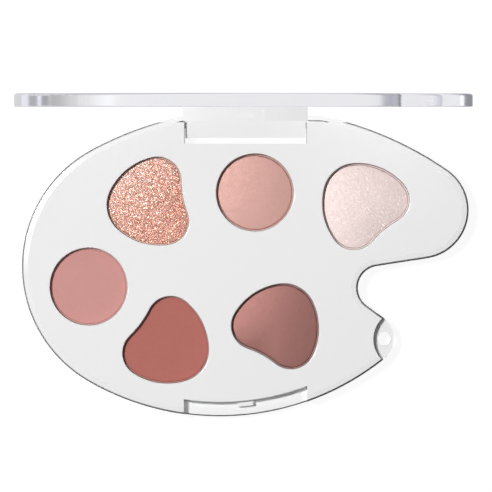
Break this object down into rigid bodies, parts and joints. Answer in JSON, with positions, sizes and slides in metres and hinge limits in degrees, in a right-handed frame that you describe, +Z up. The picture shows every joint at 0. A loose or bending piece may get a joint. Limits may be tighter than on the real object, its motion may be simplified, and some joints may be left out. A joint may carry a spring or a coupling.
{
  "type": "eyeshadow palette",
  "caption": "Hinged makeup compact shaped like a painter's palette, with pans of pressed powder in the base, a thumb notch, a key-ring tab and a mirrored lid.",
  "frame": {"origin": "on the bottom face, below the middle of the hinge's width and about the middle of the base's depth", "axes": "+X along the hinge towards the thumb notch, +Y towards the hinge, +Z up"},
  "size_m": [0.1181, 0.0856, 0.0811],
  "materials": {
    "white_gloss": "glossy white moulded plastic",
    "lid_silver": "metallised silver with a faint lilac cast, glossy",
    "mirror_glass": "silvered glass",
    "adhesive": "translucent adhesive film",
    "pan_metal": "pressed sheet, satin",
    "pin_steel": "drawn wire",
    "powder_glitter": "pressed rose-gold glitter",
    "powder_satin": "pressed satin powder, pale rose",
    "powder_shimmer": "pressed shimmer powder, champagne pink",
    "powder_rose": "pressed matte powder, dusty rose",
    "powder_terracotta": "pressed matte powder, terracotta",
    "powder_mauve": "pressed satin powder, brown mauve"
  },
  "bodies": {
    "base": {"base_shell": "white_gloss", "deck_tray": "white_gloss", "pan_pads": "adhesive", "pan_glitter": "pan_metal", "pan_satin": "pan_metal", "pan_shimmer": "pan_metal", "pan_rose": "pan_metal", "pan_terracotta": "pan_metal", "pan_mauve": "pan_metal", "powder_glitter": "powder_glitter", "powder_satin": "powder_satin", "powder_shimmer": "powder_shimmer", "powder_rose": "powder_rose", "powder_terracotta": "powder_terracotta", "powder_mauve": "powder_mauve", "hinge_pin_left": "pin_steel", "hinge_pin_right": "pin_steel"},
    "lid": {"lid_cover": "lid_silver", "lid_frame": "white_gloss", "mirror": "mirror_glass", "mirror_tape": "adhesive"}
  },
  "joints": [
    {"name": "lid_hinge", "type": "hinge", "parent": "base", "child": "lid", "pos_m": [0, 0.0375, 0.0038], "axis": [1, 0, 0], "range_deg": [0, 88]}
  ]
}
